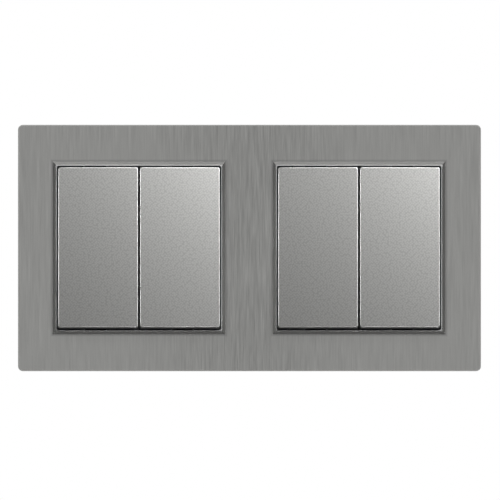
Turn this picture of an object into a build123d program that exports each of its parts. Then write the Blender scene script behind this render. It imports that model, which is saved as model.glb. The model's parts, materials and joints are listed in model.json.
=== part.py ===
from build123d import *
from math import atan2, cos, degrees, hypot, pi, radians, sin, tan
import os

# Two two-circuit light switches side by side in one horizontal cover frame.
# X runs right, Z runs up, the room is towards -Y and the wall surface is the plane y = 0.
# The origin lies on the wall, midway between the two switches. All sizes are in millimetres.

# Gangs and wall box
gang_pitch = 71.0            # centre to centre of the two switches
box_screw_spacing = 60.0     # top screw to bottom screw of one wall box
box_screw_slot_length = 9.0
box_screw_slot_radius = 2.1

# Cover frame: metal plate on a moulded carrier
plate_opening = 55.0         # square opening for one switch
plate_thickness = 2.0
plate_corner_radius = 2.0
plate_edge_break = 0.4       # bevel along the plate's front edge
frame_projection = 8.5       # wall to the front of the plate
carrier_inset = 0.8          # shadow gap behind the plate's edge
carrier_wall = 1.6
carrier_sheet = 1.5
carrier_corner_radius = 2.0
rim_wall = 1.5               # wall round each opening, which stands on the support ring
rim_notch_width = 15.0       # relief in the rim for a box screw's head
rim_notch_height = 2.6
rib_thickness = 1.2
rib_depth = 2.4
rib_offset = 18.0            # ribs stand this far each side of a switch's centre lines

# Bezel
bezel_overlap = 0.35         # how far the bezel laps over the plate, each side
bezel_edge = 0.15            # upright edge below the bevel
bezel_rise = 1.0             # bezel front above the plate
bezel_bevel = 0.95           # width of the bevel, seen from the front
bezel_land = 0.45            # flat lip inside the bevel
bezel_corner = 0.5           # cut across the inner corners
bezel_clearance = 0.2        # skirt to the frame's openings
bezel_skirt_depth = 4.5      # plate front to the skirt's free edge
clip_width = 6.0
clip_offset = 14.0           # clips stand this far each side of the switch's centre line
clip_hook = 0.9
clip_clearance = 0.05
clip_window_margin = 0.4

# Rockers
rocker_side_gap = 0.3
rocker_end_gap = 0.6
rocker_split = 0.65          # gap between the two rockers of one switch
rocker_proud = 2.0           # level rocker above the bezel
rocker_face_thickness = 2.2
rocker_wall = 1.5
rocker_skirt = 5.0           # face to the free edge of the side walls
rocker_end_draft = 3.0       # degrees
rocker_crown_radius = 700.0
rocker_edge_break = 0.35     # softened edges of the face and corners
rocker_tilt = 3.5            # degrees each way from level
pivot_depth = 7.0            # rocker face to the trunnion axis
prong_width = 6.0
prong_thickness = 1.5
prong_offset = 7.5           # from the trunnion axis, up and down
prong_hook = 0.6
prong_clearance = 0.3

# Yokes, plungers and springs
circuit_offset = 12.0        # switch centre to the middle of one circuit's mechanism
yoke_width = 15.2
yoke_deck_height = 22.0
yoke_deck_thickness = 1.6
yoke_web = 4.8               # block between the deck and the trunnions
trunnion_radius = 1.5
bearing_clearance = 0.05
yoke_side_clearance = 0.2
trunnion_end_gap = 0.3
tail_wall = 1.15
tail_reach = 6.5             # trunnion axis to the tail's open end
plunger_size = 4.0           # square section, with a half-round nose
plunger_fit = 0.05
plunger_reach = 11.0         # trunnion axis to the middle of the plunger's nose
plunger_back = 3.2           # trunnion axis to the plunger's inner end
spring_back = 0.8            # spring seat, past the trunnion axis
spring_wire = 0.45
spring_turns = 3
spring_clearance = 0.15
spring_sides = 6

# Support ring
ring_height = 70.6
ring_gap = 0.4               # between the rings of neighbouring switches
ring_side_margin = 1.5       # ring to the carrier's left or right wall
ring_end_margin = 2.05       # ring to the carrier's top or bottom wall
ring_thickness = 1.2
ring_corner = 11.0
ring_notch_depth = 2.5       # notches in the left and right edges that line up neighbouring rings
ring_notch_height = 10.0

# Bearing cover
cover_thickness = 2.0
cover_margin = 1.5           # floor outside the outer posts
cover_inset = 0.5            # base's top or bottom to the floor's
cover_corner = 2.0
post_thickness = 1.8
post_wall = 1.5              # material round the bearing
post_slot = 2.4              # snap-in mouth of each bearing
post_lip = 1.0               # bearing axis to the underside of the snap lips
post_top = 2.2               # bearing axis to the post's free end
post_corner = 1.0
window_half_height = 4.2
spigot_depth = 2.5           # rim that reaches through the ring into the base
spigot_wall = 1.2
latch_width = 8.0            # tongues of the spigot that click into the base's side walls
latch_reach = 7.0            # wall plane to a tongue's free end
latch_hook = 1.0
latch_hook_height = 1.4
latch_clearance = 0.15
spigot_clearance = 0.3
ring_clearance = 0.2

# Base
base_size = 42.0
base_corner = 5.0
base_depth = 21.0
base_wall = 1.8
chamber_height = 26.0
chamber_depth = 14.0
divider_wall = 1.8
well_width = 7.6             # terminal wells, above and below the chambers
well_wall = 1.2
slot_clearance = 0.15        # beside a terminal strip in the base
port_size = 3.0              # square wire ports, two for each terminal
port_offset = 1.9
port_funnel = 0.5

# Contacts and terminals
strip_thickness = 1.0
strip_width = 6.0
lever_thickness = 1.2
lever_length = 20.0
lever_gap = 0.1              # level lever to the plunger's tip
lever_ratio = 2.5            # lever turn for each degree of the rocker
rod_radius = 0.9
rod_fit = 0.05
rod_sink = 0.3               # how deep the rod is set into the lever
cradle_width = 6.4
cradle_height = 5.0
contact_size = 3.0           # square contact pads
contact_height = 0.8
contact_offset = 8.0         # lever pivot to the middle of the contact pads
strip_bend = 0.85            # cut across the outside of a strip's bends
leg_gap = 0.3                # contact leg to the well's inner wall
leg_end_gap = 0.3            # contact leg to the base's back wall
clamp_thickness = 0.4        # leaf springs that press the wires to the contact legs
clamp_gap = 0.15             # leaf to the well's outer wall
clamp_side_gap = 0.3
clamp_front = 6.5            # wall plane to the leaf's loop
clamp_loop = 2.1
clamp_bend = 0.7
clamp_nose = 16.8            # wall plane to the leaf's free end
clamp_nose_gap = 0.4

# Claws and their screws
screw_hole_clearance = 0.05
screw_sides = 12
drive_slot = 0.8
drive_depth = 0.8
claw_screw_radius = 1.4
claw_head_radius = 2.6
claw_head_height = 1.8
claw_screw_length = 10.5     # below the ring
claw_screw_inset = 4.4       # base's top or bottom to the screw's axis
claw_head_clearance = 0.4
claw_width = 8.0
claw_thickness = 1.0
claw_pivot_depth = 0.8       # wall plane to the claw's pivot
claw_pivot_inset = 1.8       # base's top or bottom to the claw's pivot
ear_length = 0.9             # ears of the claw, from their round edge, on which it turns, to their back
ear_span = 12.4
ear_clearance = 0.05         # ear's turning circle to its groove
ear_end_gap = 0.2
claw_knee_depth = 5.0        # wall plane to the claw's outer knee
claw_knee_inset = 1.2
claw_heel_gap = 1.5          # screw's end to the claw's inner heel, which the screw drives out
claw_heel_inset = 3.2
claw_tip_length = 4.5        # heel to tip, along the depth
claw_tip_overhang = 0.5      # tip past the base's top or bottom
claw_channel_width = 10.0
claw_channel_depth = 6.2
tooth_width = 2.0

# Levels along Y and other values worked out from the sizes above
ring_width = gang_pitch - ring_gap
plate_width = gang_pitch + ring_width + 2 * (ring_side_margin + carrier_wall + carrier_inset)
plate_height = ring_height + 2 * (ring_end_margin + carrier_wall + carrier_inset)
plate_front = -frame_projection
plate_back = plate_front + plate_thickness
sheet_back = plate_back + carrier_sheet
ring_front = -ring_thickness
bezel_outer = plate_opening + 2 * bezel_overlap
bezel_front = plate_front - bezel_rise
bezel_opening = bezel_outer - 2 * (bezel_bevel + bezel_land)
skirt_outer = plate_opening - 2 * bezel_clearance
rocker_face = bezel_front - rocker_proud
rocker_width = (bezel_opening - 2 * rocker_side_gap - rocker_split) / 2
rocker_height = bezel_opening - 2 * rocker_end_gap
rocker_back = rocker_face + rocker_skirt
rocker_inner_face = rocker_face + rocker_face_thickness
pivot_y = rocker_face + pivot_depth
deck_back = rocker_inner_face + yoke_deck_thickness
cover_front = ring_front - cover_thickness
post_gap = yoke_width / 2 + yoke_side_clearance
bore_size = plunger_size + 2 * plunger_fit
tip_y = pivot_y + plunger_reach + plunger_size / 2
lever_front = tip_y + lever_gap
lever_back = lever_front + lever_thickness
lever_pivot_y = lever_back + rod_radius - rod_sink
lever_tilt = rocker_tilt * lever_ratio
chamber_half_width = base_size / 2 - base_wall
ring_opening_width = 2 * (chamber_half_width - spigot_clearance + ring_clearance)
ring_opening_height = chamber_height - 2 * (spigot_clearance - ring_clearance)
spigot_width = 2 * (chamber_half_width - spigot_clearance)
spigot_height = chamber_height - 2 * spigot_clearance
strip_front = chamber_depth - strip_thickness
back_wall = base_depth - base_wall
cover_height = base_size - 2 * cover_inset
claw_screw_offset = base_size / 2 - claw_screw_inset
claw_pivot_offset = base_size / 2 - claw_pivot_inset
claw_knee = (claw_knee_depth, base_size / 2 - claw_knee_inset)
claw_heel = (claw_screw_length + claw_heel_gap, base_size / 2 - claw_heel_inset)
claw_tip = (claw_heel[0] + claw_tip_length, base_size / 2 + claw_tip_overhang)
well_inner = chamber_height / 2 + well_wall
well_outer = base_size / 2 - base_wall
leg_inner = well_inner + leg_gap
leg_outer = leg_inner + strip_thickness
leg_end = back_wall - leg_end_gap

gangs = {"left_switch": -gang_pitch / 2, "right_switch": gang_pitch / 2}
sides = {"left": -1, "right": 1}
ends = {"top": 1, "bottom": -1}
terminals = ((-1, -1), (1, -1), (-1, 1))   # side and end of the two load wells and the line well


def slab(sketch, front, back):
    """Extrude an X-Z sketch between two levels along Y."""
    return extrude(Plane.XZ.offset(-back) * sketch, amount=back - front)


def bar(sketch, start, stop):
    """Extrude a Y-Z sketch between two places along X."""
    return extrude(Plane.YZ.offset(start) * sketch, amount=stop - start)


def span(low, high, bottom, top):
    """A rectangle given by its edges."""
    return Pos((low + high) / 2, (bottom + top) / 2) * Rectangle(high - low, top - bottom)


def mirrored(sketch, offset):
    """The same sketch at both sides of the vertical centre line."""
    return Sketch() + [Pos(s * offset, 0) * sketch for s in sides.values()]


def in_corners(sketch, x, z):
    return Sketch() + [Pos(s * x, e * z) * sketch for s in sides.values() for e in ends.values()]


def lever_axis(x):
    return Axis((x, lever_pivot_y, 0), (1, 0, 0))


def rocker_axis(x):
    return Axis((x, pivot_y, 0), (1, 0, 0))


# Cover frame


def frame_plate():
    outline = RectangleRounded(plate_width, plate_height, plate_corner_radius)
    plate = slab(outline, plate_front, plate_back)
    plate = chamfer(plate.faces().sort_by(Axis.Y)[0].edges(), plate_edge_break)
    for x in gangs.values():
        plate -= slab(Pos(x, 0) * Rectangle(plate_opening, plate_opening), plate_front, plate_back)
    return plate


def carrier_ribs(inner_width, inner_height):
    """Ribs between the openings' rims and the outer wall, on both sides of each switch's centre lines."""
    upright = Sketch()
    for x in gangs.values():
        upright += Pos(x, 0) * mirrored(Rectangle(rib_thickness, inner_height), rib_offset)
    level = Rectangle(inner_width, rib_thickness)
    return upright + [Pos(0, e * rib_offset) * level for e in ends.values()]


def frame_carrier():
    width = plate_width - 2 * carrier_inset
    height = plate_height - 2 * carrier_inset
    inner_width = width - 2 * carrier_wall
    inner_height = height - 2 * carrier_wall
    carrier = slab(RectangleRounded(width, height, carrier_corner_radius), plate_back, 0)
    carrier -= slab(Rectangle(inner_width, inner_height), sheet_back, 0)
    carrier += slab(carrier_ribs(inner_width, inner_height), sheet_back, sheet_back + rib_depth)
    rim_size = plate_opening + 2 * rim_wall
    for x in gangs.values():
        carrier += slab(Pos(x, 0) * Rectangle(rim_size, rim_size), plate_back, ring_front)
        carrier -= slab(Pos(x, 0) * Rectangle(plate_opening, plate_opening), plate_back, ring_front)
        notch = Pos(x, 0) * Rectangle(rim_notch_width, rim_size)
        carrier -= slab(notch, ring_front - rim_notch_height, ring_front)
    return carrier


# Front of one switch


def bezel_clips():
    """Four legs that reach through the ring and hook under the bearing cover's ears."""
    inner, outer = bezel_opening / 2, skirt_outer / 2
    clips = Part()
    for s in sides.values():
        for e in ends.values():
            low, high = s * clip_offset - clip_width / 2, s * clip_offset + clip_width / 2
            leg = Polyline(
                (plate_front + bezel_skirt_depth, e * inner),
                (ring_front + clip_clearance, e * inner),
                (ring_front + clip_clearance, e * (inner - clip_hook)),
                (-clip_clearance, e * inner),
                (-clip_clearance, e * outer),
                (plate_front + bezel_skirt_depth, e * outer),
                close=True,
            )
            clips += bar(make_face(leg), low, high)
    return clips


def bezel():
    """Square trim ring with mitred bevels, a skirt through the frame and four clip legs."""
    edge_top = plate_front - bezel_edge
    skirt_end = plate_front + bezel_skirt_depth
    outline = Rectangle(bezel_outer, bezel_outer)
    ring = slab(outline, edge_top, plate_front)
    slope = degrees(atan2(bezel_bevel, bezel_rise - bezel_edge))
    ring += extrude(Plane.XZ.offset(-edge_top) * outline, amount=bezel_rise - bezel_edge, taper=slope)
    ring += slab(Rectangle(skirt_outer, skirt_outer), plate_front, skirt_end)
    opening = chamfer(Rectangle(bezel_opening, bezel_opening).vertices(), bezel_corner)
    return ring - slab(opening, bezel_front, skirt_end) + bezel_clips()


def drafted_profile(height, front, back):
    """Side view of a block that is widest at its open back; the height holds at the rocker's face."""

    def half(level):
        return height / 2 + (level - rocker_face) * tan(radians(rocker_end_draft))

    face = ((front, -half(front)), (front, half(front)))
    foot = ((back, half(back)), (back, -half(back)))
    return make_face(Polyline(*face, *foot, close=True))


def rocker_prong(e):
    """A hooked prong that goes through the yoke's deck."""
    inner, outer = e * (prong_offset - prong_thickness / 2), e * (prong_offset + prong_thickness / 2)
    hook = e * (prong_offset + prong_thickness / 2 + prong_hook)
    return make_face(Polyline(
        (rocker_inner_face, inner),
        (deck_back + 2 * prong_hook, inner),
        (deck_back + 2 * prong_hook, outer),
        (deck_back, hook),
        (deck_back, outer),
        (rocker_inner_face, outer),
        close=True,
    ))


def runs_back(edge):
    """True for the edges at a block's four corners."""
    direction = edge % 0.5
    return abs(direction.Y) > abs(direction.X) + abs(direction.Z)


def rocker(s):
    """One rocker, level: a drafted shell whose face is part of one shallow dome over the pair."""
    low, high = sorted((s * rocker_split / 2, s * (rocker_split / 2 + rocker_width)))
    block = bar(drafted_profile(rocker_height, rocker_face, rocker_back), low, high)
    block = block & (Pos(0, rocker_face + rocker_crown_radius, 0) * Sphere(rocker_crown_radius))
    block = chamfer(block.edges().filter_by(runs_back), rocker_edge_break)
    block = chamfer(block.faces().sort_by(Axis.Y)[0].edges(), rocker_edge_break)
    hollow = drafted_profile(rocker_height - 2 * rocker_wall, rocker_inner_face, rocker_back)
    block -= bar(hollow, low + rocker_wall, high - rocker_wall)
    middle = s * circuit_offset
    for e in ends.values():
        block += bar(rocker_prong(e), middle - prong_width / 2, middle + prong_width / 2)
    return block.rotate(rocker_axis(middle), -rocker_tilt)


# Mechanism of one circuit


def yoke(s):
    """Rocker carrier, level: deck with two prong windows, web with trunnions, tail tube for the plunger."""
    x = s * circuit_offset
    low, high = x - yoke_width / 2, x + yoke_width / 2
    deck = slab(Pos(x, 0) * Rectangle(yoke_width, yoke_deck_height), rocker_inner_face, deck_back)
    for e in ends.values():
        window = Rectangle(prong_width + 2 * prong_clearance, prong_thickness + 2 * prong_clearance)
        deck -= slab(Pos(x, e * prong_offset) * window, rocker_inner_face, deck_back)
    web = bar(span(deck_back, pivot_y + yoke_web / 2, -yoke_web / 2, yoke_web / 2), low, high)
    reach = yoke_side_clearance + post_thickness - trunnion_end_gap
    trunnions = bar(Pos(pivot_y, 0) * Circle(trunnion_radius), low - reach, high + reach)
    tail_size = bore_size + 2 * tail_wall
    tail = slab(Pos(x, 0) * Rectangle(tail_size, tail_size), pivot_y, pivot_y + tail_reach)
    bore = slab(Pos(x, 0) * Rectangle(bore_size, bore_size), pivot_y - spring_back, pivot_y + tail_reach)
    return (deck + web + trunnions + tail - bore).rotate(rocker_axis(x), -rocker_tilt)


def plunger(s):
    x = s * circuit_offset
    half = plunger_size / 2
    nose = pivot_y + plunger_reach
    profile = span(pivot_y + plunger_back, nose, -half, half) + Pos(nose, 0) * Circle(half)
    return bar(profile, x - half, x + half).rotate(rocker_axis(x), -rocker_tilt)


def spring(s):
    """A coil of straight lengths between the bore's blind end and the plunger."""
    x = s * circuit_offset
    radius = bore_size / 2 - spring_clearance - spring_wire / 2
    start = pivot_y - spring_back + spring_wire
    rise = spring_back + plunger_back - 2 * spring_wire
    count = spring_turns * spring_sides
    turn = 2 * pi / spring_sides
    points = []
    for i in range(count + 1):
        points.append((x + radius * cos(turn * i), start + rise * i / count, radius * sin(turn * i)))
    path = Polyline(points)
    section = Plane(origin=path @ 0, z_dir=path % 0) * Rectangle(spring_wire, spring_wire)
    coil = sweep(section, path, transition=Transition.RIGHT)
    return coil.rotate(rocker_axis(x), -rocker_tilt)


def lever(s):
    """See-saw strip with a half-sunk pivot rod, turned as the plunger holds it at rest."""
    x = s * circuit_offset
    low, high = x - strip_width / 2, x + strip_width / 2
    arm = span(lever_front, lever_back, -lever_length / 2, lever_length / 2)
    rod = Pos(lever_pivot_y, 0) * Circle(rod_radius)
    return bar(arm + rod, low, high).rotate(lever_axis(x), lever_tilt)


def moving_contact(s):
    x = s * circuit_offset
    pad = Pos(x, -contact_offset) * Rectangle(contact_size, contact_size)
    return slab(pad, lever_back, lever_back + contact_height).rotate(lever_axis(x), lever_tilt)


# Housing of one switch


def bearing_post(x):
    low, high = x - post_thickness / 2, x + post_thickness / 2
    half = trunnion_radius + bearing_clearance + post_wall
    outline = span(pivot_y - post_top, ring_front, -half, half)
    outline = chamfer(outline.vertices().sort_by(Axis.X)[:2], post_corner)
    return bar(outline, low, high)


def bearing_seat(x):
    """Round-bottomed slot of one bearing, open towards the room past two snap lips."""
    low, high = x - post_thickness / 2, x + post_thickness / 2
    radius = trunnion_radius + bearing_clearance
    outline = Pos(pivot_y, 0) * Circle(radius) + span(pivot_y - post_lip, pivot_y, -radius, radius)
    outline += span(pivot_y - post_top, pivot_y, -post_slot / 2, post_slot / 2)
    return bar(outline, low, high)


def spigot_latch(s):
    """Section of a tongue that runs down from the spigot and hooks into the base's side wall."""
    inner, outer = spigot_width / 2 - spigot_wall, spigot_width / 2
    return make_face(Polyline(
        (s * inner, ring_front),
        (s * outer, ring_front),
        (s * outer, latch_reach - latch_hook_height),
        (s * (outer + latch_hook), latch_reach - latch_hook_height),
        (s * outer, latch_reach),
        (s * inner, latch_reach),
        close=True,
    ))


def bearing_cover():
    """Front moulding of the mechanism: floor with clip ears, four bearing posts and a latched spigot."""
    outer_post = circuit_offset + post_gap + post_thickness / 2
    inner_post = circuit_offset - post_gap - post_thickness / 2
    width = 2 * (outer_post + post_thickness / 2 + cover_margin)
    floor = chamfer(Rectangle(width, cover_height).vertices(), cover_corner)
    ear_height = bezel_opening - 2 * bezel_clearance
    floor += mirrored(Rectangle(clip_width + 2 * clip_window_margin, ear_height), clip_offset)
    floor -= mirrored(Rectangle(2 * post_gap, 2 * window_half_height), circuit_offset)
    recess = claw_head_radius + claw_head_clearance
    for e in ends.values():
        floor -= span(-recess, recess, *sorted((e * (claw_screw_offset - recess), e * cover_height / 2)))
    cover = slab(floor, cover_front, ring_front)
    spigot = Rectangle(spigot_width, spigot_height)
    spigot -= Rectangle(spigot_width - 2 * spigot_wall, spigot_height - 2 * spigot_wall)
    cover += slab(spigot, ring_front, spigot_depth)
    for s in sides.values():
        cover += extrude(Plane.XY.offset(-latch_width / 2) * spigot_latch(s), amount=latch_width)
        for x in (inner_post, outer_post):
            cover += bearing_post(s * x)
            cover -= bearing_seat(s * x)
    return cover


def support_ring():
    """Flat steel ring with cut corners, clip windows, tapped claw holes and the box screws' slots."""
    sheet = chamfer(Rectangle(ring_width, ring_height).vertices(), ring_corner)
    sheet -= Rectangle(ring_opening_width, ring_opening_height)
    sheet -= mirrored(Rectangle(2 * ring_notch_depth, ring_notch_height), ring_width / 2)
    window_inner = bezel_opening / 2 - clip_hook - clip_window_margin
    window_outer = skirt_outer / 2 + clip_window_margin
    window = Rectangle(clip_width + 2 * clip_window_margin, window_outer - window_inner)
    sheet -= in_corners(window, clip_offset, (window_inner + window_outer) / 2)
    for e in ends.values():
        slot = SlotOverall(box_screw_slot_length, 2 * box_screw_slot_radius)
        sheet -= Pos(0, e * box_screw_spacing / 2) * slot
        hole = RegularPolygon(claw_screw_radius + screw_hole_clearance, screw_sides)
        sheet -= Pos(0, e * claw_screw_offset) * hole
    return slab(sheet, ring_front, 0)


def terminal_well(s, e):
    """Well of one terminal, with a slot to the chamber and two funnelled wire ports in the back wall."""
    x = s * circuit_offset
    low, high = sorted((e * well_inner, e * well_outer))
    well = slab(span(x - well_width / 2, x + well_width / 2, low, high), 0, back_wall)
    half = strip_width / 2 + slot_clearance
    low, high = sorted((e * chamber_height / 2, e * well_inner))
    well += slab(span(x - half, x + half, low, high), strip_front - slot_clearance, chamber_depth)
    for side in sides.values():
        place = Pos(x + side * port_offset, e * (leg_outer + port_size / 2))
        well += slab(place * Rectangle(port_size, port_size), back_wall, base_depth)
        mouth = place * Rectangle(port_size + 2 * port_funnel, port_size + 2 * port_funnel)
        well += extrude(Plane.XZ.offset(-base_depth) * mouth, amount=port_funnel, taper=45)
    return well


def claw_channel(e):
    """Channel for one claw and its screw, with a cross groove that holds the claw's ears."""
    low, high = sorted((e * (base_size / 2 - claw_channel_depth), e * base_size / 2))
    channel = slab(span(-claw_channel_width / 2, claw_channel_width / 2, low, high), 0, base_depth)
    radius = hypot(ear_length, claw_thickness / 2) + ear_clearance
    middle = e * claw_pivot_offset
    groove = span(0, claw_pivot_depth + radius, middle - radius, middle + radius)
    reach = ear_span / 2 + ear_end_gap
    return channel + bar(groove, -reach, reach)


def base():
    """Moulded housing: two chambers, three terminal wells with wire ports, two claw channels."""
    outline = chamfer(Rectangle(base_size, base_size).vertices(), base_corner)
    housing = slab(outline, 0, base_depth)
    inner = divider_wall / 2
    for s in sides.values():
        low, high = sorted((s * inner, s * chamber_half_width))
        housing -= slab(span(low, high, -chamber_height / 2, chamber_height / 2), 0, chamber_depth)
    mouth = Rectangle(2 * chamber_half_width, chamber_height)
    housing -= slab(mouth, 0, spigot_depth + spigot_clearance)
    bar_slot = Rectangle(divider_wall, cradle_height + 2 * slot_clearance)
    housing -= slab(bar_slot, strip_front - slot_clearance, chamber_depth)
    for e in ends.values():
        housing -= claw_channel(e)
    for s, e in terminals:
        housing -= terminal_well(s, e)
    latch_front = latch_reach - latch_hook_height - latch_clearance
    half = latch_width / 2 + latch_clearance
    window = span(latch_front, latch_reach + latch_clearance, -half, half)
    for s in sides.values():
        low, high = sorted((s * chamber_half_width, s * base_size / 2))
        housing -= bar(window, low, high)
    return housing


# Contacts and terminals


def bent_strip(x, start):
    """A strip along the chamber's floor, through the wall and down the top well as a contact leg."""
    line = Polyline(
        (strip_front, start),
        (strip_front, leg_outer - strip_bend),
        (strip_front + strip_bend, leg_outer),
        (leg_end, leg_outer),
    )
    profile = make_face(offset(line, amount=strip_thickness, side=Side.RIGHT, kind=Kind.INTERSECTION))
    return bar(profile, x - strip_width / 2, x + strip_width / 2)


def load_terminal(s):
    x = s * circuit_offset
    start = contact_offset - contact_size / 2 - strip_thickness
    return mirror(bent_strip(x, start), about=Plane.XY)


def line_terminal():
    """Strip under both levers with a cradle for each lever's rod, and one leg in the top left well."""
    reach = circuit_offset + cradle_width / 2
    section = span(strip_front, chamber_depth, -cradle_height / 2, cradle_height / 2)
    terminal = bar(section, -reach, reach)
    cradle = span(lever_pivot_y, strip_front, -cradle_height / 2, cradle_height / 2)
    cradle -= Pos(lever_pivot_y, 0) * Circle(rod_radius + rod_fit)
    for s in sides.values():
        x = s * circuit_offset
        terminal += bar(cradle, x - cradle_width / 2, x + cradle_width / 2)
    return terminal + bent_strip(-circuit_offset, cradle_height / 2)


def fixed_contacts():
    places = mirrored(Pos(0, -contact_offset) * Rectangle(contact_size, contact_size), circuit_offset)
    return slab(places, strip_front - contact_height, strip_front)


def clamp_springs():
    """Leaf springs, one in each well: a back leg, a loop and a slanting leg that grips the wires."""
    outside = well_outer - clamp_gap
    line = Polyline(
        (leg_end, outside),
        (clamp_front + clamp_bend, outside),
        (clamp_front, outside - clamp_bend),
        (clamp_front, outside - clamp_loop + clamp_bend),
        (clamp_front + clamp_bend, outside - clamp_loop),
        (clamp_nose, leg_outer + clamp_nose_gap),
    )
    half = well_width / 2 - clamp_side_gap
    profile = make_face(offset(line, amount=clamp_thickness, side=Side.LEFT, kind=Kind.INTERSECTION))
    leaf = bar(profile, -half, half)
    leaves = Part()
    for s, e in terminals:
        turned = leaf if e > 0 else mirror(leaf, about=Plane.XY)
        leaves += Pos(s * circuit_offset, 0, 0) * turned
    return leaves


# Claws


def claw_screws():
    """Two slotted pan-head screws, driven from the room."""
    screws = Part()
    for e in ends.values():
        place = Pos(0, e * claw_screw_offset)
        head_front = ring_front - claw_head_height
        screw = slab(place * RegularPolygon(claw_head_radius, screw_sides), head_front, ring_front)
        screw += slab(place * RegularPolygon(claw_screw_radius, screw_sides), ring_front, claw_screw_length)
        groove = place * Rectangle(2 * claw_head_radius, drive_slot)
        screws += screw - slab(groove, head_front, head_front + drive_depth)
    return screws


def claw(e):
    """Spreading claw: a bent strip that turns on two ears, with a heel for its screw and two teeth."""
    start, stop = claw_pivot_depth, claw_pivot_depth + ear_length
    inner, outer = claw_pivot_offset - claw_thickness / 2, claw_pivot_offset + claw_thickness / 2
    line = Polyline((start, inner), (stop, inner), claw_knee, claw_heel, claw_tip)
    profile = make_face(offset(line, amount=claw_thickness, side=Side.LEFT, kind=Kind.INTERSECTION))
    round_edge = Pos(claw_pivot_depth, claw_pivot_offset) * Circle(claw_thickness / 2)
    strip = bar(profile + round_edge, -claw_width / 2, claw_width / 2)
    strip += bar(span(start, stop, inner, outer) + round_edge, -ear_span / 2, ear_span / 2)
    notch = span(-tooth_width, tooth_width, claw_heel[1], claw_tip[1] + 2 * claw_thickness)
    strip -= slab(notch, claw_tip[0] - 2 * claw_thickness, claw_tip[0] + 2 * claw_thickness)
    return strip if e > 0 else mirror(strip, about=Plane.XY)


def switch_pieces():
    """Every piece of one switch, about its own centre, by name."""
    pieces = {
        "bezel": bezel(),
        "bearing_cover": bearing_cover(),
        "base": base(),
        "support_ring": support_ring(),
        "line_terminal": line_terminal(),
        "fixed_contacts": fixed_contacts(),
        "clamp_springs": clamp_springs(),
        "claw_screws": claw_screws(),
    }
    for side, s in sides.items():
        pieces[f"{side}_rocker"] = rocker(s)
        pieces[f"{side}_yoke"] = yoke(s)
        pieces[f"{side}_plunger"] = plunger(s)
        pieces[f"{side}_spring"] = spring(s)
        pieces[f"{side}_lever"] = lever(s)
        pieces[f"{side}_moving_contact"] = moving_contact(s)
        pieces[f"{side}_load_terminal"] = load_terminal(s)
    for end, e in ends.items():
        pieces[f"{end}_claw"] = claw(e)
    return pieces


os.makedirs("parts", exist_ok=True)
export_step(frame_plate(), "parts/frame_plate.step")
export_step(frame_carrier(), "parts/frame_carrier.step")
one_switch = switch_pieces()
for gang, gang_x in gangs.items():
    for name, piece in one_switch.items():
        export_step(Pos(gang_x, 0, 0) * piece, f"parts/{gang}_{name}.step")
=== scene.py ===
# %% [markdown]
# # Two two-circuit light switches in one brushed frame
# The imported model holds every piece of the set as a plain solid, already in place. This script loads it,
# makes finer skins for the pieces that face the room, gives every piece a procedural finish, and sets up
# the light and the camera.

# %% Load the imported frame
import json
import math

import bpy
import numpy as np
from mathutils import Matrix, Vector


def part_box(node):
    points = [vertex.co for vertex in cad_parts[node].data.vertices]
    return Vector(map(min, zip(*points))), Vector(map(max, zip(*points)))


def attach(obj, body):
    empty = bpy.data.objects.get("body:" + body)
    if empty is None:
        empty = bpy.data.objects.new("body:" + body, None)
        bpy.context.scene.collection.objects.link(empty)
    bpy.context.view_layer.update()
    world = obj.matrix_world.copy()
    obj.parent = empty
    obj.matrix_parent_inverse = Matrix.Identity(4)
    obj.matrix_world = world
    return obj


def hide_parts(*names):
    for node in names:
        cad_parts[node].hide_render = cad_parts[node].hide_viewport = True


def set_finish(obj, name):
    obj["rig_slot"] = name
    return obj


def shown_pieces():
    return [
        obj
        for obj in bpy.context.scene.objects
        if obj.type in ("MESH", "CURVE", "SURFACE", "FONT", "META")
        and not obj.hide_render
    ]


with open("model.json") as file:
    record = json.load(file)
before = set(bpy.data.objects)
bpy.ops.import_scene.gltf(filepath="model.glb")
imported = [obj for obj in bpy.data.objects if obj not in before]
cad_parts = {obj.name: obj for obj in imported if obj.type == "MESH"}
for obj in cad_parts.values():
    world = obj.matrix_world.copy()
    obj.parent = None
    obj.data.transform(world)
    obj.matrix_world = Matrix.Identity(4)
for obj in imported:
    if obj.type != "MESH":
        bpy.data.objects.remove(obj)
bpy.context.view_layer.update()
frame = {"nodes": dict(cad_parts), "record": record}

mm = 0.001


def measure(node):
    """Lowest and highest corner of a node, in millimetres to a thousandth."""
    return [(np.array(corner) / mm).round(3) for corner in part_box(node)]


def middle_of(node):
    """The x of a node's middle, in millimetres."""
    return float(np.mean(measure(node), 0)[0].round(3))


sides = {"left": -1, "right": 1}
gangs = {f"{side}_switch": middle_of(f"{side}_switch_bezel") for side in sides}

# %% [markdown]
# ## From arrays to a piece
# A mesh is only a list of points and a list of faces. Here both come out of numpy as whole arrays, in
# millimetres, and one helper turns them into an object that rides on a body of the switch. Smooth shading
# with a sharp-edge angle keeps flat faces flat and round edges round, without extra faces.

# %% Helper that makes a piece
shop = bpy.context.scene.collection


def add_piece(name, points, faces, body, slot, node, marks=None, crisp=32.0):
    """Points in millimetres and faces become an object; edges that turn more than crisp degrees are sharp.
    marks holds face attributes, one number a face, for a finish to read."""
    places = (np.asarray(points, float) * mm).tolist()
    mesh = bpy.data.meshes.new(name)
    mesh.from_pydata(places, [], [list(map(int, face)) for face in faces])
    mesh.polygons.foreach_set("use_smooth", np.ones(len(mesh.polygons), bool))
    mesh.set_sharp_from_angle(angle=math.radians(crisp))
    for label, values in (marks or {}).items():
        numbers = mesh.attributes.new(label, "FLOAT", "FACE").data
        numbers.foreach_set("value", np.asarray(values, np.float32))
    piece = bpy.data.objects.new(name, mesh)
    shop.objects.link(piece)
    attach(piece, body)
    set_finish(piece, slot)
    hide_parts(node)
    return piece


print("pieces go into", shop.name)

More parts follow.
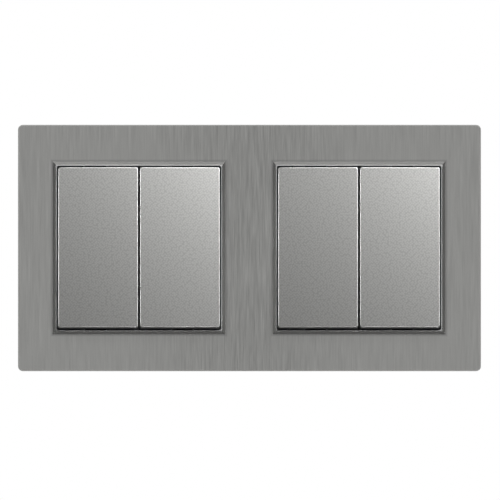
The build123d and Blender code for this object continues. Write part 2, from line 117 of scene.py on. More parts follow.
# %% [markdown]
# ## Grids with rounded rims
# The plate and the rockers are sheets seen from the room: a depth y for every place (x, z) on a grid.
# Grid lines crowd together at a rim, where the depth follows a quarter circle. The four corner squares of
# the grid are pulled onto arcs, so that the outline is a rounded rectangle and no face has to be cut.

# %% Helpers for rounded sheets


def rim_insets(radius, steps=6, guard=0.08):
    """Distances inside the outline at equal angles of a quarter round: radius x (1 - sin angle).
    One more line just inside keeps the rim's smooth shading off the flat."""
    return np.append(radius * (1 - np.sin(np.linspace(np.pi / 2, 0, steps + 1))), radius + guard)


def rim_drop(inset, radius):
    """How far a quarter round has fallen back: radius - sqrt(radius^2 - (radius - inset)^2)."""
    rest = np.clip(radius - inset, 0, radius)
    return radius - np.sqrt(radius**2 - rest**2)


def round_corners(x, z, half_width, half_height, radius):
    """In each corner square, a point (a, b) from 0 to 1 moves along its ray to the distance max(a, b)."""
    a = np.clip((np.abs(x) - half_width + radius) / radius, 0, 1)
    b = np.clip((np.abs(z) - half_height + radius) / radius, 0, 1)
    in_corner = (a > 0) & (b > 0)
    pull = np.where(in_corner, np.maximum(a, b) / np.maximum(np.hypot(a, b), 1e-9), 1)
    moved_x = np.sign(x) * (half_width - radius + radius * a * pull)
    moved_z = np.sign(z) * (half_height - radius + radius * b * pull)
    return np.where(in_corner, moved_x, x), np.where(in_corner, moved_z, z)


def grid_quads(rows, columns):
    """Corner numbers of each quad of a grid, turned to face the room."""
    corner = np.arange(rows * columns).reshape(rows, columns)
    quads = [corner[:-1, :-1], corner[:-1, 1:], corner[1:, 1:], corner[1:, :-1]]
    return np.stack(quads, -1).reshape(-1, 4)


def both_ways(values):
    """Grid lines at each value and at its opposite."""
    return np.unique(np.round(np.concatenate([-np.asarray(values), np.asarray(values)]), 6))


print("rim insets of a 0.3 mm edge:", rim_insets(0.3).round(3))

# %% [markdown]
# ## Brushed plate
# The real plate is cut from sheet metal: its outer edge is broken by a narrow slope that catches the
# light, and its two square openings have a fine round. It could be a box with holes cut by booleans, but
# that gives ragged faces. One grid with the quads inside the openings left out stays clean. A copy at the
# back and a wall along every free edge close it. The frame has a little play over the switches and sits
# to the right by it.

# %% Make the brushed plate
plate_low, plate_high = measure("frame_plate")
plate_half = (plate_high - plate_low) / 2
opening_half = 27.5


def close_sheet(front, quads, back_depth):
    """Add a flat back, and a wall quad on each edge that only one quad uses."""
    used, quads = np.unique(quads, return_inverse=True)
    front, quads = front[used], quads.reshape(-1, 4)
    back = front.copy()
    back[:, 1] = back_depth
    edges = np.concatenate([quads[:, [k, (k + 1) % 4]] for k in range(4)])
    _, first, uses = np.unique(np.sort(edges, 1), axis=0, return_index=True, return_counts=True)
    rim = edges[first[uses == 1]]
    count = len(front)
    walls = np.stack([rim[:, 1], rim[:, 0], rim[:, 0] + count, rim[:, 1] + count], 1)
    return np.concatenate([front, back]), np.concatenate([quads, quads[:, ::-1] + count, walls])


def plate_sheet(slope_width=0.33, slope_drop=0.4, corner=1.6, lip=0.15, play=0.15):
    """Depth = plate front + a straight drop over the slope's width + a round drop at the openings."""
    outer = np.concatenate([[0], np.linspace(slope_width, corner, 4)])
    inner = opening_half + rim_insets(lip, 3)
    x_lines = [both_ways(plate_half[0] - outer)] + [g + both_ways(inner) for g in gangs.values()]
    z_lines = [both_ways(plate_half[2] - outer), both_ways(inner)]
    x, z = np.meshgrid(np.unique(np.concatenate(x_lines)), np.unique(np.concatenate(z_lines)))
    inset = np.minimum(plate_half[0] - np.abs(x), plate_half[2] - np.abs(z))
    from_opening = np.min([np.maximum(np.abs(x - g), np.abs(z)) - opening_half for g in gangs.values()], 0)
    y = plate_low[1] + slope_drop * np.maximum(1 - inset / slope_width, 0)
    y += rim_drop(np.maximum(from_opening, 0), lip)
    quads = grid_quads(*x.shape)
    middle_x, middle_z = x.ravel()[quads].mean(1), z.ravel()[quads].mean(1)
    hole = [np.maximum(np.abs(middle_x - g), np.abs(middle_z)) < opening_half for g in gangs.values()]
    x, z = round_corners(x, z, plate_half[0], plate_half[2], corner)
    points = np.stack([x + play, y, z], -1).reshape(-1, 3)
    return close_sheet(points, quads[~np.any(hole, 0)], plate_high[1])


plate = add_piece("brushed_plate", *plate_sheet(), "mounted_set", "brushed_metal", "frame_plate")
print("plate faces:", len(plate.data.polygons))

# %% [markdown]
# ## Bars of one section
# Hooks, prongs and the two halves of a slotted screw head are all one flat outline pushed along an axis.
# A helper makes such bars from an outline, and another adds several meshes together by shifting their
# numbers.

# %% Helpers for bars


def bar(outline, start, stop, axis=0):
    """A closed outline in the other two axes, in axis order, pushed from start to stop along an axis."""
    outline = np.asarray(outline, float)
    step = np.roll(outline, -1, 0)
    area = np.sum(outline[:, 0] * step[:, 1] - step[:, 0] * outline[:, 1]) * (1 if axis != 1 else -1)
    outline = outline if area > 0 else outline[::-1]
    count = len(outline)
    points = np.concatenate([np.insert(outline, axis, start, 1), np.insert(outline, axis, stop, 1)])
    i = np.arange(count)
    j = (i + 1) % count
    walls = np.stack([i, j, j + count, i + count], 1).tolist()
    return points, walls + [i[::-1].tolist(), (i + count).tolist()]


def together(*parts):
    """Join point and face lists into one mesh."""
    shift = np.cumsum([0] + [len(points) for points, faces in parts])
    faces = [[int(k) + int(s) for k in face] for (points, faces), s in zip(parts, shift) for face in faces]
    return np.concatenate([points for points, faces in parts]), faces


print("a square bar has", len(bar([(0, 0), (1, 0), (1, 1), (0, 1)], 0, 2)[1]), "faces")

# %% [markdown]
# ## Bezels
# Each bezel is a square ring of one section: a small upright edge, a mitred bevel, a flat lip and a
# skirt. A section carried along a square path gives exactly that. The path has five points at each
# corner, so that the same columns can stay square at the bevel and turn round at the opening. Four legs
# behind it end in hooks. A fine Bevel modifier breaks the edges, and a Weld modifier joins the points that
# it leaves on top of each other. Marks say that a bezel is smoother than the rockers and that its lip gets
# a painted highlight: it is made brighter than the rest.

# %% Make the bezels
bezel_low, bezel_high = measure("left_switch_bezel")
bezel_half = (bezel_high[0] - bezel_low[0]) / 2
edge_break, edge_angle, weld_within = 0.08, 25, 0.002


def square_path(half, radius, spread=0.5):
    """Five points a corner: on an arc of the radius, or on the square itself where the radius is 0."""
    t = np.linspace(0, 1, 5)
    if radius:
        u = half - radius + radius * np.cos(t * np.pi / 2)
        v = half - radius + radius * np.sin(t * np.pi / 2)
    else:
        u = half - spread * np.clip(2 * t - 1, 0, 1)
        v = half - spread * np.clip(1 - 2 * t, 0, 1)
    return np.concatenate([np.stack(p, 1) for p in ((u, v), (-v, u), (-u, -v), (v, -u))])


def carried_round(section):
    """A closed section of (half size, depth, corner radius) carried round a square path."""
    rings = [np.insert(square_path(half, radius), 1, depth, 1) for half, depth, radius in section]
    rows, columns = len(rings), len(rings[0])
    number = np.arange(rows * columns).reshape(rows, columns)
    below, right = np.roll(number, -1, 0), np.roll(number, -1, 1)
    quads = np.stack([number, right, np.roll(below, -1, 1), below], -1).reshape(-1, 4)
    return np.concatenate(rings), quads


def bezel_ring(crest, opening, skirt, skirt_end, upright=0.05, opening_round=0.8, lip_stretch=2):
    """Upright edge, bevel up to the crest, lip, inner wall and skirt; stretches count from 0."""
    front, foot = bezel_low[1], plate_low[1]
    section = [(bezel_half, foot, 0), (bezel_half, foot - upright, 0), (crest, front, 0),
               (opening, front, opening_round), (opening, skirt_end, opening_round),
               (skirt, skirt_end, 0), (skirt, foot, 0)]
    points, quads = carried_round(section)
    stretch = np.arange(len(quads)) // (len(quads) // len(section))
    return points, quads, stretch == lip_stretch


def bezel_legs(opening, skirt, skirt_end, out=14, half_width=3.38, hook=0.9, hook_depth=-1.15, end=-0.05):
    """Bars of one outline, (depth, height): a pair above and a pair below the switch."""
    outline = np.array([(skirt_end, opening), (hook_depth, opening), (hook_depth, opening - hook),
                        (end, opening), (end, skirt), (skirt_end, skirt)])
    return [bar(outline * (1, up), x - half_width, x + half_width) for x in (-out, out) for up in (1, -1)]


def bezel_mesh(crest=26.77, opening=26.55, skirt=27.3, skirt_end=-4.0, smooth=0.8):
    """The ring and its legs, with a mark for how smooth each face is and where a highlight is painted."""
    points, quads, lip = bezel_ring(crest, opening, skirt, skirt_end)
    points, faces = together((points, quads), *bezel_legs(opening, skirt, skirt_end))
    # Painted highlight: the lip's faces are marked to be brighter.
    painted_highlight = np.pad(lip.astype(float), (0, len(faces) - len(lip)))
    return points, faces, {"smooth": np.full(len(faces), smooth), "painted_highlight": painted_highlight}


for gang, gang_x in gangs.items():
    points, faces, marks = bezel_mesh()
    points = points + (gang_x, 0, 0)
    node = f"{gang}_bezel"
    bezel = add_piece(f"{node}_trim", points, faces, "mounted_set", "silver_lacquer", node, marks)
    edge = bezel.modifiers.new("fine edges", "BEVEL")
    edge.width = edge_break * mm
    edge.segments = 2
    edge.limit_method = "ANGLE"
    edge.angle_limit = math.radians(edge_angle)
    bezel.modifiers.new("joined points", "WELD").merge_threshold = weld_within * mm
print("bezel faces before the bevel:", len(bezel.data.polygons))

# %% [markdown]
# ## Rockers
# A rocker is a thin moulded cap. Its face is part of one shallow dome over the pair, so the light runs
# across both faces in one sweep. The cap is a chain of rings: the face grid's rim, the free edge outside,
# the free edge inside and the rim of the same grid again as the ceiling of the hollow. At rest every
# rocker has its top pressed in. Marks say where the rims get a painted highlight and that the lacquer is
# thin on the upper and lower sides.

# %% Make the rockers
rocker_half = np.array([12.8875, 25.85])
rocker_split = 0.65
face_depth, free_depth, ceiling_depth, pivot_depth = -11.5, -6.5, -9.3, -4.5
dome = 700.0
draft = math.tan(math.radians(3))
tilt = math.radians(-3.5)


def rim_of(rows, columns):
    """Numbers of a grid's outer points, walking round as seen from the room."""
    corner = np.arange(rows * columns).reshape(rows, columns)
    return np.concatenate([corner[0, :-1], corner[:-1, -1], corner[-1, :0:-1], corner[:0:-1, 0]])


def rocker_cap(middle, rim=0.25, corner=0.6, wall=1.5, rim_highlight_share=0.5, flat_lines=12):
    """Face depth = dome radius - sqrt(dome radius^2 - x^2 - z^2), plus the drop at the rim."""
    insets = np.append(rim_insets(rim), corner)
    spread = [np.append(half - insets, np.linspace(0, half - corner, flat_lines)) for half in rocker_half]
    x, z = np.meshgrid(both_ways(spread[0]), both_ways(spread[1]))
    inset = np.minimum(rocker_half[0] - np.abs(x), rocker_half[1] - np.abs(z))
    x, z = round_corners(x, z, *rocker_half, corner)
    y = face_depth + dome - np.sqrt(dome**2 - (x + middle) ** 2 - z**2) + rim_drop(inset, rim)
    face = np.stack([x, y, z], -1).reshape(-1, 3)
    rim_numbers = rim_of(*inset.shape)

    def ring(points, shrink, depth):
        """The outline or grid at a depth, smaller by shrink and taller by the draft."""
        half = rocker_half - shrink + (0, (depth - face_depth) * draft)
        scaled = points[:, [0, 2]] / rocker_half * half
        return np.insert(scaled, 1, depth, 1)

    outside = ring(face[rim_numbers], 0, free_depth)
    inside = ring(face[rim_numbers], wall, free_depth)
    ceiling = ring(face, wall, ceiling_depth)
    n, m = len(face), len(rim_numbers)
    chain = [rim_numbers, n + np.arange(m), n + m + np.arange(m), n + 2 * m + rim_numbers]
    front = grid_quads(*inset.shape)
    links = zip(chain, chain[1:])
    walls = [np.stack([near, far, np.roll(far, -1), np.roll(near, -1)], 1) for near, far in links]
    quads = np.concatenate([front, *walls, front[:, ::-1] + n + 2 * m])
    painted_highlight, thin = np.zeros((2, len(quads)))
    # Painted highlight: faces on the rim are marked to be brighter.
    painted_highlight[:len(front)] = rim_highlight_share * (inset.ravel()[front].mean(1) < rim)
    wall_height = np.abs(face[walls[0][:, [0, 3]], 2].mean(1))
    thin[len(front):len(front) + m] = wall_height > rocker_half[1] - corner / 2
    return np.concatenate([face, outside, inside, ceiling]), quads, {"painted_highlight": painted_highlight, "thin": thin}


def tilted(points):
    """Turn about the rocker's trunnions by the rest tilt."""
    y, z = points[:, 1] - pivot_depth, points[:, 2]
    turned_y = pivot_depth + y * math.cos(tilt) - z * math.sin(tilt)
    return np.stack([points[:, 0], turned_y, y * math.sin(tilt) + z * math.cos(tilt)], 1)


def rocker_mesh(side, sag=0.1, prong_x=12.0, prong_half=3.0, prong_height=8.25, prong_wall=1.5, hook=0.6):
    """A cap with two hooked prongs; the clips' play lets the cap hang a little low."""
    middle = sides[side] * (rocker_split / 2 + rocker_half[0])
    cap, quads, marks = rocker_cap(middle)
    inner, outer, hook_depth = prong_height - prong_wall, prong_height, free_depth - 2 * hook
    prong = np.array([(ceiling_depth, inner), (free_depth, inner), (free_depth, outer),
                      (hook_depth, outer + hook), (hook_depth, outer), (ceiling_depth, outer)])
    x = sides[side] * prong_x
    prongs = [bar(prong * (1, up), x - prong_half, x + prong_half) for up in (1, -1)]
    points, faces = together((cap + (middle, 0, -sag), quads), *prongs)
    marks = {label: np.pad(values, (0, len(faces) - len(values))) for label, values in marks.items()}
    return tilted(points), faces, marks


for gang, gang_x in gangs.items():
    for side in sides:
        points, faces, marks = rocker_mesh(side)
        points = points + (gang_x, 0, 0)
        node = f"{gang}_{side}_rocker"
        add_piece(f"{node}_cap", points, faces, f"{node}_body", "silver_lacquer", node, marks)
        off = np.max(np.abs([points.min(0) - measure(node)[0], points.max(0) - measure(node)[1]]))
        print(node, "differs from its solid by", round(float(off), 3), "mm")

# %% [markdown]
# ## Claw screws
# A screw thread is a helix: the radius swings between core and crest as the turn angle and the length
# advance together. On a grid of angle by length that is one formula. The pan head is a disc and two half
# discs, with the driver's slot left open between them.

# %% Make the claw screws
screw_height = 16.6


def threaded_shank(start, stop, crest=1.4, core=1.15, pitch=0.7, point=0.25, around=24, rows_a_turn=8):
    """Radius = crest - thread depth x triangle wave of (length / pitch - angle / full turn).
    The wave fades out over one pitch at both ends, and the free end is pointed."""
    turns = np.linspace(0, 1, around, endpoint=False)
    length = np.linspace(start, stop, int((stop - start) / pitch * rows_a_turn) + 1)[:, None]
    from_start = np.clip((length - start) / pitch, 0, 1)
    from_stop = np.clip((stop - length) / pitch, 0, 1)
    wave = np.abs(2 * ((length / pitch - turns) % 1) - 1)
    radius = crest - (crest - core) * wave * from_start * from_stop - point * (1 - from_stop)
    angle = 2 * np.pi * turns
    points = np.stack([radius * np.cos(angle), length + 0 * radius, radius * np.sin(angle)], -1)
    number = np.arange(radius.size).reshape(radius.shape)
    near, far = number[:-1], number[1:]
    quads = np.stack([far, np.roll(far, -1, 1), np.roll(near, -1, 1), near], -1).reshape(-1, 4)
    return points.reshape(-1, 3), quads.tolist() + [number[0].tolist(), number[-1][::-1].tolist()]


def claw_screw(radius=2.6, slot_half=0.4, front=-3.0, slot_floor=-2.2, back=-1.2, end=10.5, around=48):
    """Two half discs beside the slot, a full disc below them and the threaded shank."""
    angle = np.linspace(0, 2 * np.pi, around, endpoint=False)
    disc = radius * np.stack([np.cos(angle), np.sin(angle)], 1)
    reach = math.asin(slot_half / radius)
    arc = np.linspace(reach, np.pi - reach, around // 2)
    half_disc = radius * np.stack([np.cos(arc), np.sin(arc)], 1)
    head = [bar(half_disc * (1, up), front, slot_floor, axis=1) for up in (1, -1)]
    return together(*head, bar(disc, slot_floor, back, axis=1), threaded_shank(back, end))


for gang, gang_x in gangs.items():
    points, faces = claw_screw()
    pair = together(*[(points + (gang_x, 0, up * screw_height), faces) for up in (1, -1)])
    screws = add_piece(f"{gang}_threaded_screws", *pair, "mounted_set", "zinc_steel", f"{gang}_claw_screws")
print("screw faces:", len(screws.data.polygons))

# %% [markdown]
# ## Shared effects
# Four effects serve the finishes, so each is a node group with its own sockets: cloudy noise, lines drawn
# out along one axis, spangles, and the fine dots of a sprayed lacquer. Each runs from Low to High. A
# group only puts out values; the shader stays in the material, where its plain numbers can be set on its
# own sockets.

# %% Helpers for node groups
noise_low, noise_high = 0.3, 0.7


def new_group(name, inputs):
    """An empty group with float inputs (name, default), a Vector input and a Value output."""
    group = bpy.data.node_groups.new(name, "ShaderNodeTree")
    group.interface.new_socket("Vector", in_out="INPUT", socket_type="NodeSocketVector")
    for label, default in [*inputs, ("Low", 0), ("High", 1)]:
        socket = group.interface.new_socket(label, in_out="INPUT", socket_type="NodeSocketFloat")
        socket.default_value = default
    group.interface.new_socket("Value", in_out="OUTPUT", socket_type="NodeSocketFloat")
    return group, group.nodes.new("NodeGroupInput"), group.nodes.new("NodeGroupOutput")


def put_out(group, given, result, value, start, stop):
    """Stretch a value that runs from start to stop, so that it runs from Low to High, and put it out."""
    spread = group.nodes.new("ShaderNodeMapRange")
    spread.inputs["From Min"].default_value = start
    spread.inputs["From Max"].default_value = stop
    group.links.new(value, spread.inputs["Value"])
    group.links.new(given.outputs["Low"], spread.inputs["To Min"])
    group.links.new(given.outputs["High"], spread.inputs["To Max"])
    group.links.new(spread.outputs["Result"], result.inputs["Value"])


print("noise is stretched from", noise_low, "to", noise_high)

# %% Clouds and drawn lines
clouds, given, result = new_group("clouds", [("Scale", 300)])
noise = clouds.nodes.new("ShaderNodeTexNoise")
noise.inputs["Detail"].default_value = 2
clouds.links.new(given.outputs["Vector"], noise.inputs["Vector"])
clouds.links.new(given.outputs["Scale"], noise.inputs["Scale"])
put_out(clouds, given, result, noise.outputs["Fac"], noise_low, noise_high)

lines, given, result = new_group("drawn_lines", [("Across", 3000), ("Along", 40)])
stretch = lines.nodes.new("ShaderNodeCombineXYZ")
for axis, label in (("X", "Across"), ("Y", "Across"), ("Z", "Along")):
    lines.links.new(given.outputs[label], stretch.inputs[axis])
drawn = lines.nodes.new("ShaderNodeVectorMath")
drawn.operation = "MULTIPLY"
lines.links.new(given.outputs["Vector"], drawn.inputs[0])
lines.links.new(stretch.outputs["Vector"], drawn.inputs[1])
noise = lines.nodes.new("ShaderNodeTexNoise")
noise.inputs["Scale"].default_value = 1
noise.inputs["Detail"].default_value = 3
lines.links.new(drawn.outputs["Vector"], noise.inputs["Vector"])
put_out(lines, given, result, noise.outputs["Fac"], noise_low, noise_high)
print("inputs of the drawn lines:", [socket.name for socket in given.outputs if socket.name])

# %% Spangles and dots
spangles, given, result = new_group("spangles", [("Scale", 700)])
cells = spangles.nodes.new("ShaderNodeTexVoronoi")
spangles.links.new(given.outputs["Vector"], cells.inputs["Vector"])
spangles.links.new(given.outputs["Scale"], cells.inputs["Scale"])
put_out(spangles, given, result, cells.outputs["Color"], 0, 1)

dot_rim, dot_middle = 0.65, 0.05
dots, given, result = new_group("lacquer_dots", [("Scale", 1500)])
turn = dots.nodes.new("ShaderNodeMapping")
turn.inputs["Rotation"].default_value = (math.pi / 2, 0, math.pi / 4)
cells = dots.nodes.new("ShaderNodeTexVoronoi")
cells.voronoi_dimensions = "2D"
cells.inputs["Randomness"].default_value = 0.65
dots.links.new(given.outputs["Vector"], turn.inputs["Vector"])
dots.links.new(turn.outputs["Vector"], cells.inputs["Vector"])
dots.links.new(given.outputs["Scale"], cells.inputs["Scale"])
put_out(dots, given, result, cells.outputs["Distance"], dot_rim, dot_middle)
print("groups:", [group.name for group in bpy.data.node_groups])

# %% [markdown]
# ## How a finish is made
# Each finish mixes a dark and a light tone of its colour by one effect, varies its gloss by another and
# adds a low bump, so that no surface is one flat colour. Small helpers place a group, do one sum or mix
# two tones, which keeps the recipes below short. Every pattern reads the piece's own coordinates, so it
# stays put when it moves.

# %% Helpers for node trees


def work_out(tree, operation, first, second=None):
    """A Math node on a socket and, where given, a second socket or number."""
    node = tree.nodes.new("ShaderNodeMath")
    node.operation = operation
    tree.links.new(first, node.inputs[0])
    if isinstance(second, bpy.types.NodeSocket):
        tree.links.new(second, node.inputs[1])
    elif second is not None:
        node.inputs[1].default_value = second
    return node.outputs["Value"]


def rise(tree, socket, start, stop, low, high):
    """A smooth step from low to high as a value runs from start to stop."""
    step = tree.nodes.new("ShaderNodeMapRange")
    step.interpolation_type = "SMOOTHSTEP"
    for label, value in zip(("From Min", "From Max", "To Min", "To Max"), (start, stop, low, high)):
        step.inputs[label].default_value = value
    tree.links.new(socket, step.inputs["Value"])
    return step.outputs["Result"]


def mix_tones(tree, mask, first, second):
    """The first tone where the mask is 0, the second where it is 1: each a socket, a colour or a grey."""
    mix = tree.nodes.new("ShaderNodeMix")
    mix.data_type = "RGBA"
    tree.links.new(mask, mix.inputs[0])
    for socket, tone in ((mix.inputs[6], first), (mix.inputs[7], second)):
        if isinstance(tone, bpy.types.NodeSocket):
            tree.links.new(tone, socket)
        else:
            socket.default_value = (*np.broadcast_to(tone, 3).tolist(), 1)
    return mix.outputs[2]


def coordinates(tree):
    """The piece's own x, y and z."""
    place = tree.nodes.new("ShaderNodeTexCoord")
    split = tree.nodes.new("ShaderNodeSeparateXYZ")
    tree.links.new(place.outputs["Object"], split.inputs["Vector"])
    return [split.outputs[axis] for axis in "XYZ"]


def effect(tree, group, **values):
    """A group placed on the piece's own coordinates, with values for its inputs."""
    place = tree.nodes.new("ShaderNodeTexCoord")
    node = tree.nodes.new("ShaderNodeGroup")
    node.node_tree = group
    tree.links.new(place.outputs["Object"], node.inputs["Vector"])
    for label, value in values.items():
        node.inputs[label].default_value = value
    return node.outputs["Value"]


def mark(tree, label):
    """A face attribute of the piece, or 0 where it has none of that name."""
    node = tree.nodes.new("ShaderNodeAttribute")
    node.attribute_name = label
    return node.outputs["Fac"]


print("helpers:", [helper.__name__ for helper in (work_out, rise, mix_tones, coordinates, effect, mark)])

# %% Helper that starts a finish and one that ends it
finishes = {}
bump_strength = 0.5


def new_finish(slot, metallic=0.0):
    """A material for a slot; its shader keeps plain numbers on its own sockets."""
    finishes[slot] = bpy.data.materials.new(slot)
    finishes[slot].use_nodes = True
    tree = finishes[slot].node_tree
    tree.nodes["Principled BSDF"].inputs["Metallic"].default_value = metallic
    return tree


def end_finish(tree, colour, gloss, bump, height):
    """Link colour, roughness and a bump of a height in millimetres to the shader."""
    shader = tree.nodes["Principled BSDF"]
    relief = tree.nodes.new("ShaderNodeBump")
    relief.inputs["Strength"].default_value = bump_strength
    relief.inputs["Distance"].default_value = height * mm
    tree.links.new(bump, relief.inputs["Height"])
    tree.links.new(colour, shader.inputs["Base Color"])
    tree.links.new(gloss, shader.inputs["Roughness"])
    tree.links.new(relief.outputs["Normal"], shader.inputs["Normal"])


print("bump strength:", bump_strength)

# %% [markdown]
# ## Brushed metal
# The plate is brushed along its height. It looks a little darker and more streaked between the two
# switches, and a painted shade darkens a narrow band round each bezel, where the bezel's contact shadow
# falls. Both follow from where a point lies, so two masks worked out from x and z do it: the distance
# from the plate's middle, and the square distance from the nearest switch.

# %% Make the brushed metal
middle_streak, streak, bright_line = (0.46, 0.46, 0.447), (0.56, 0.56, 0.544), (0.615, 0.615, 0.596)
streak_reach, seam, seam_shade_width = 42, bezel_half + 0.05, 0.9
seam_shade_tone, seam_shade_share = 0.3, 0.55
tree = new_finish("brushed_metal", metallic=1.0)
x, _, z = coordinates(tree)
from_middle = work_out(tree, "ABSOLUTE", x)
streaks = mix_tones(tree, rise(tree, from_middle, 0, streak_reach * mm, 0, 1), middle_streak, streak)
colour = mix_tones(tree, effect(tree, lines, Across=3000, Along=130), streaks, bright_line)
past_switch = work_out(tree, "SUBTRACT", from_middle, gangs["right_switch"] * mm)
from_switch = work_out(tree, "ABSOLUTE", past_switch)
from_switch = work_out(tree, "MAXIMUM", from_switch, work_out(tree, "ABSOLUTE", z))
# Painted shade: the plate is darkened in a band round each bezel, where its contact shadow falls.
seam_shade = rise(tree, from_switch, seam * mm, (seam + seam_shade_width) * mm, seam_shade_share, 0)
colour = mix_tones(tree, seam_shade, colour, seam_shade_tone)
gloss = effect(tree, lines, Across=2600, Along=60, Low=0.355, High=0.385)
end_finish(tree, colour, gloss, effect(tree, lines, Across=3600, Along=90), 0.0015)
print("brushed metal nodes:", len(tree.nodes))

# %% [markdown]
# ## Silver lacquer
# Rockers and bezels are sprayed with one silver lacquer, whose fine dots make the rockers sparkle. The
# marks on the faces do the rest: rims and lips are brighter, a painted highlight; smooth faces have few
# dots, and where the coat is thin the grey plastic shows. Hooks and free edges far behind the front count
# as unsprayed, and their near-black tone without metal gloss is painted shade that keeps the gaps dark.

# %% Make the silver lacquer
dot_scale, smooth_pattern = 1500, 0.05
dark_lacquer, light_lacquer = (0.575, 0.575, 0.56), (0.72, 0.72, 0.7)
painted_highlight_tone, thin_tone, unsprayed_shade_tone = 0.95, 0.35, 0.03
sprayed_unshaded_depth, unsprayed_shaded_depth = -7.2, -6.6
tree = new_finish("silver_lacquer", metallic=1.0)
pattern = mix_tones(tree, mark(tree, "smooth"), effect(tree, dots, Scale=dot_scale), smooth_pattern)
colour = mix_tones(tree, pattern, dark_lacquer, light_lacquer)
# Painted highlight: marked rims and lips are mixed towards a brighter tone.
colour = mix_tones(tree, mark(tree, "painted_highlight"), colour, painted_highlight_tone)
colour = mix_tones(tree, mark(tree, "thin"), colour, thin_tone)
depth = coordinates(tree)[1]
# Painted shade: parts deeper than the spray turn near-black, which keeps what shows through the gaps dark.
sprayed_unshaded = rise(tree, depth, sprayed_unshaded_depth * mm, unsprayed_shaded_depth * mm, 1, 0)
colour = mix_tones(tree, sprayed_unshaded, unsprayed_shade_tone, colour)
coat = work_out(tree, "MULTIPLY", sprayed_unshaded, work_out(tree, "LESS_THAN", mark(tree, "thin"), 0.5))
tree.links.new(coat, tree.nodes["Principled BSDF"].inputs["Metallic"])
gloss = effect(tree, dots, Scale=dot_scale, Low=0.325, High=0.335)
end_finish(tree, colour, gloss, effect(tree, dots, Scale=dot_scale), 0.002)
print("silver lacquer nodes:", len(tree.nodes))

# %% [markdown]
# ## Plastics
# The mouldings behind the front are plain plastics: a black carrier, pale base and cover, near-white
# yokes and slippery plungers. Soft clouds in tone, gloss and bump keep them from looking like one flat
# colour.

# %% Make the plastics


def plastic(slot, dark, light, cloud, gloss_cloud, low, high, bump_cloud, height):
    """Two tones, a gloss from low to high and a bump, each by clouds of its own scale."""
    tree = new_finish(slot)
    colour = mix_tones(tree, effect(tree, clouds, Scale=cloud), dark, light)
    gloss = effect(tree, clouds, Scale=gloss_cloud, Low=low, High=high)
    end_finish(tree, colour, gloss, effect(tree, clouds, Scale=bump_cloud), height)


plastic("carrier_plastic", 0.028, 0.04, 900, 1500, 0.5, 0.62, 5000, 0.006)
plastic("base_plastic", (0.66, 0.66, 0.61), (0.74, 0.74, 0.69), 500, 1200, 0.45, 0.58, 4000, 0.006)
plastic("cover_plastic", (0.55, 0.55, 0.53), (0.62, 0.62, 0.6), 500, 1200, 0.45, 0.58, 4000, 0.006)
plastic("yoke_plastic", (0.74, 0.74, 0.71), (0.82, 0.82, 0.79), 600, 1200, 0.4, 0.5, 4500, 0.004)
plastic("plunger_plastic", (0.5, 0.51, 0.45), (0.58, 0.59, 0.53), 700, 1500, 0.28, 0.36, 5000, 0.002)
print("finishes so far:", len(finishes))

# %% [markdown]
# ## Metals inside
# Support rings, claws and screws are zinc plated, with faint spangles. Springs, brass strips and silver
# contacts are drawn or rolled, so their gloss runs in lines.

# %% Make the metals


def metal(slot, dark, light, tone, low, high, drawn, bump_drawn, height):
    """Two tones by an effect; gloss from low to high and bump run along drawn lines (across, along)."""
    tree = new_finish(slot, metallic=1.0)
    group, scale = tone
    colour = mix_tones(tree, effect(tree, group, Scale=scale), dark, light)
    gloss = effect(tree, lines, Across=drawn[0], Along=drawn[1], Low=low, High=high)
    end_finish(tree, colour, gloss, effect(tree, lines, Across=bump_drawn[0], Along=bump_drawn[1]), height)


metal("zinc_steel", (0.5, 0.52, 0.55), (0.66, 0.67, 0.68), (spangles, 700),
      0.26, 0.38, (900, 120), (2200, 150), 0.003)
metal("spring_steel", (0.42, 0.42, 0.4), (0.52, 0.52, 0.5), (clouds, 600),
      0.22, 0.32, (1500, 100), (2500, 100), 0.002)
metal("brass", (0.52, 0.32, 0.1), (0.64, 0.42, 0.15), (clouds, 500),
      0.25, 0.36, (1500, 100), (2500, 100), 0.002)
metal("contact_silver", (0.7, 0.7, 0.67), (0.82, 0.82, 0.79), (clouds, 1500),
      0.22, 0.34, (1800, 200), (2500, 200), 0.002)
print("finishes:", len(finishes))

# %% [markdown]
# ## Dressing the pieces
# The record gives every solid a material slot, and each new piece was given one when it was made. A loop
# puts the finish of that slot on each.

# %% Put the finishes on
node_slots = {entry["node"]: entry["material_slot"] for entry in frame["record"]["subparts"]}
for node, piece in frame["nodes"].items():
    piece.data.materials.clear()
    piece.data.materials.append(finishes[node_slots[node]])
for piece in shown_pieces():
    if "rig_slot" in piece:
        piece.data.materials.append(finishes[piece["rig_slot"]])

# %% [markdown]
# ## Floor
# The set is fixed to a wall, so the floor lies well below it. It is there to be seen from other sides
# only: it casts no shadow and is left out of reflections, so that it doesn't brighten the lower bevels.

# %% Make the floor
floor_height, floor_half, floor_near, floor_far = -0.16, 0.6, -0.7, 0.5
floor_corners = [(-floor_half, floor_near), (floor_half, floor_near),
                 (floor_half, floor_far), (-floor_half, floor_far)]
floor_mesh = bpy.data.meshes.new("floor")
floor_mesh.from_pydata([(*corner, floor_height) for corner in floor_corners], [], [(0, 1, 2, 3)])
floor = bpy.data.objects.new("floor", floor_mesh)
shop.objects.link(floor)
pale = bpy.data.materials.new("pale_floor")
pale.use_nodes = True
pale.node_tree.nodes["Principled BSDF"].inputs["Base Color"].default_value = (0.8, 0.8, 0.79, 1)
pale.node_tree.nodes["Principled BSDF"].inputs["Roughness"].default_value = 0.8
floor_mesh.materials.append(pale)
floor.visible_glossy = False
floor.visible_diffuse = False
floor.visible_shadow = False
print("floor at", floor_height / mm, "mm")

# %% [markdown]
# ## Room light
# A metal shows what it reflects, so the room matters as much as the lamps. It is dim, with a brighter
# ceiling, a faint ground and a ring of light round the camera that lifts faces seen from the side. A
# white backdrop behind the set lights only reflections: it draws the bright line along the plate's sloped
# edge, and no daylight comes through the gaps. The camera itself sees plain white.

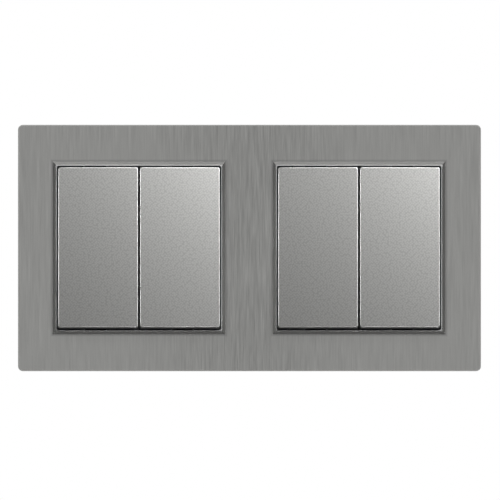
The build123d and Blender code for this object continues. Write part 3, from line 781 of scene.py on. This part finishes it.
# %% Light the room
world = bpy.data.worlds.new("studio")
bpy.context.scene.world = world
world.use_nodes = True
sky = world.node_tree
sky.nodes.clear()
way = sky.nodes.new("ShaderNodeTexCoord")
toward = sky.nodes.new("ShaderNodeSeparateXYZ")
path = sky.nodes.new("ShaderNodeLightPath")
sky.links.new(way.outputs["Generated"], toward.inputs["Vector"])
dim, ceiling_glow, ground_glow, ring_glow = 0.02, 0.27, 0.09, 0.22
ceiling = rise(sky, toward.outputs["Z"], 0.3, 0.95, dim, ceiling_glow)
ground = rise(sky, toward.outputs["Z"], -0.3, -0.95, dim, ground_glow)
ring_start = rise(sky, toward.outputs["Y"], -0.88, -0.7, dim, ring_glow)
ring_stop = rise(sky, toward.outputs["Y"], -0.66, -0.42, ring_glow, dim)
ring = work_out(sky, "MINIMUM", ring_start, ring_stop)
behind = rise(sky, toward.outputs["Y"], 0, 0.2, 0, 1)
backdrop = work_out(sky, "MULTIPLY", behind, path.outputs["Is Glossy Ray"])
glow = work_out(sky, "MAXIMUM", ceiling, ground)
for part in (ring, backdrop):
    glow = work_out(sky, "MAXIMUM", glow, part)
room = sky.nodes.new("ShaderNodeBackground")
sky.links.new(glow, room.inputs["Strength"])
white = sky.nodes.new("ShaderNodeBackground")
white.inputs["Color"].default_value = (1, 1, 1, 1)
choose = sky.nodes.new("ShaderNodeMixShader")
sky.links.new(path.outputs["Is Camera Ray"], choose.inputs["Fac"])
sky.links.new(room.outputs["Background"], choose.inputs[1])
sky.links.new(white.outputs["Background"], choose.inputs[2])
sky.links.new(choose.outputs["Shader"], sky.nodes.new("ShaderNodeOutputWorld").inputs["Surface"])
print("room nodes:", len(sky.nodes))

# %% [markdown]
# ## Lamps
# One strong lamp from the upper right runs across the domed rockers. Four weak ones, far off to the sides,
# above and below, each draw one side's rims and bevels, and one behind shows the bases to a camera there.
# Suns light both switches alike. Their places are given as angles from the camera, because a surface
# shines when it faces halfway between camera and lamp.

# %% Hang the lamps


def add_lamp(name, right, up, strength, spread):
    """A sun, placed by its angles to the right of the camera and above it, in degrees."""
    lamp = bpy.data.objects.new(name, bpy.data.lights.new(name, "SUN"))
    lamp.data.energy = strength
    lamp.data.angle = math.radians(spread)
    lamp.rotation_euler = (math.radians(90 - up), 0, math.radians(right))
    shop.objects.link(lamp)


add_lamp("key_lamp", right=20, up=27, strength=1.92, spread=6)
add_lamp("right_edge_lamp", right=45, up=9, strength=0.5, spread=10)
add_lamp("left_edge_lamp", right=-45, up=9, strength=0.66, spread=10)
add_lamp("top_edge_lamp", right=10, up=52, strength=0.66, spread=12)
add_lamp("low_edge_lamp", right=10, up=-45, strength=0.32, spread=10)
add_lamp("back_lamp", right=200, up=30, strength=1.6, spread=20)
bpy.context.scene.view_settings.view_transform = "Standard"

# %% [markdown]
# ## Camera
# The set is seen straight from the front with no perspective: both switches look alike and hide their
# sides. A parallel view does that. The switches' distance of 220 pixels in the picture gives its scale.

# %% Place the camera
picture_width, pixels_between_switches = 500, 220
camera_right, camera_away, camera_up = 0.32, -500, -0.6455
pixels_per_mm = pixels_between_switches / (gangs["right_switch"] - gangs["left_switch"])
camera = bpy.data.objects.new("camera", bpy.data.cameras.new("camera"))
shop.objects.link(camera)
camera.data.type = "ORTHO"
camera.data.ortho_scale = picture_width / pixels_per_mm * mm
camera.location = (camera_right * mm, camera_away * mm, camera_up * mm)
camera.rotation_euler = (math.pi / 2, 0, 0)
bpy.context.scene.camera = camera
print("picture width:", round(camera.data.ortho_scale / mm, 2), "mm")
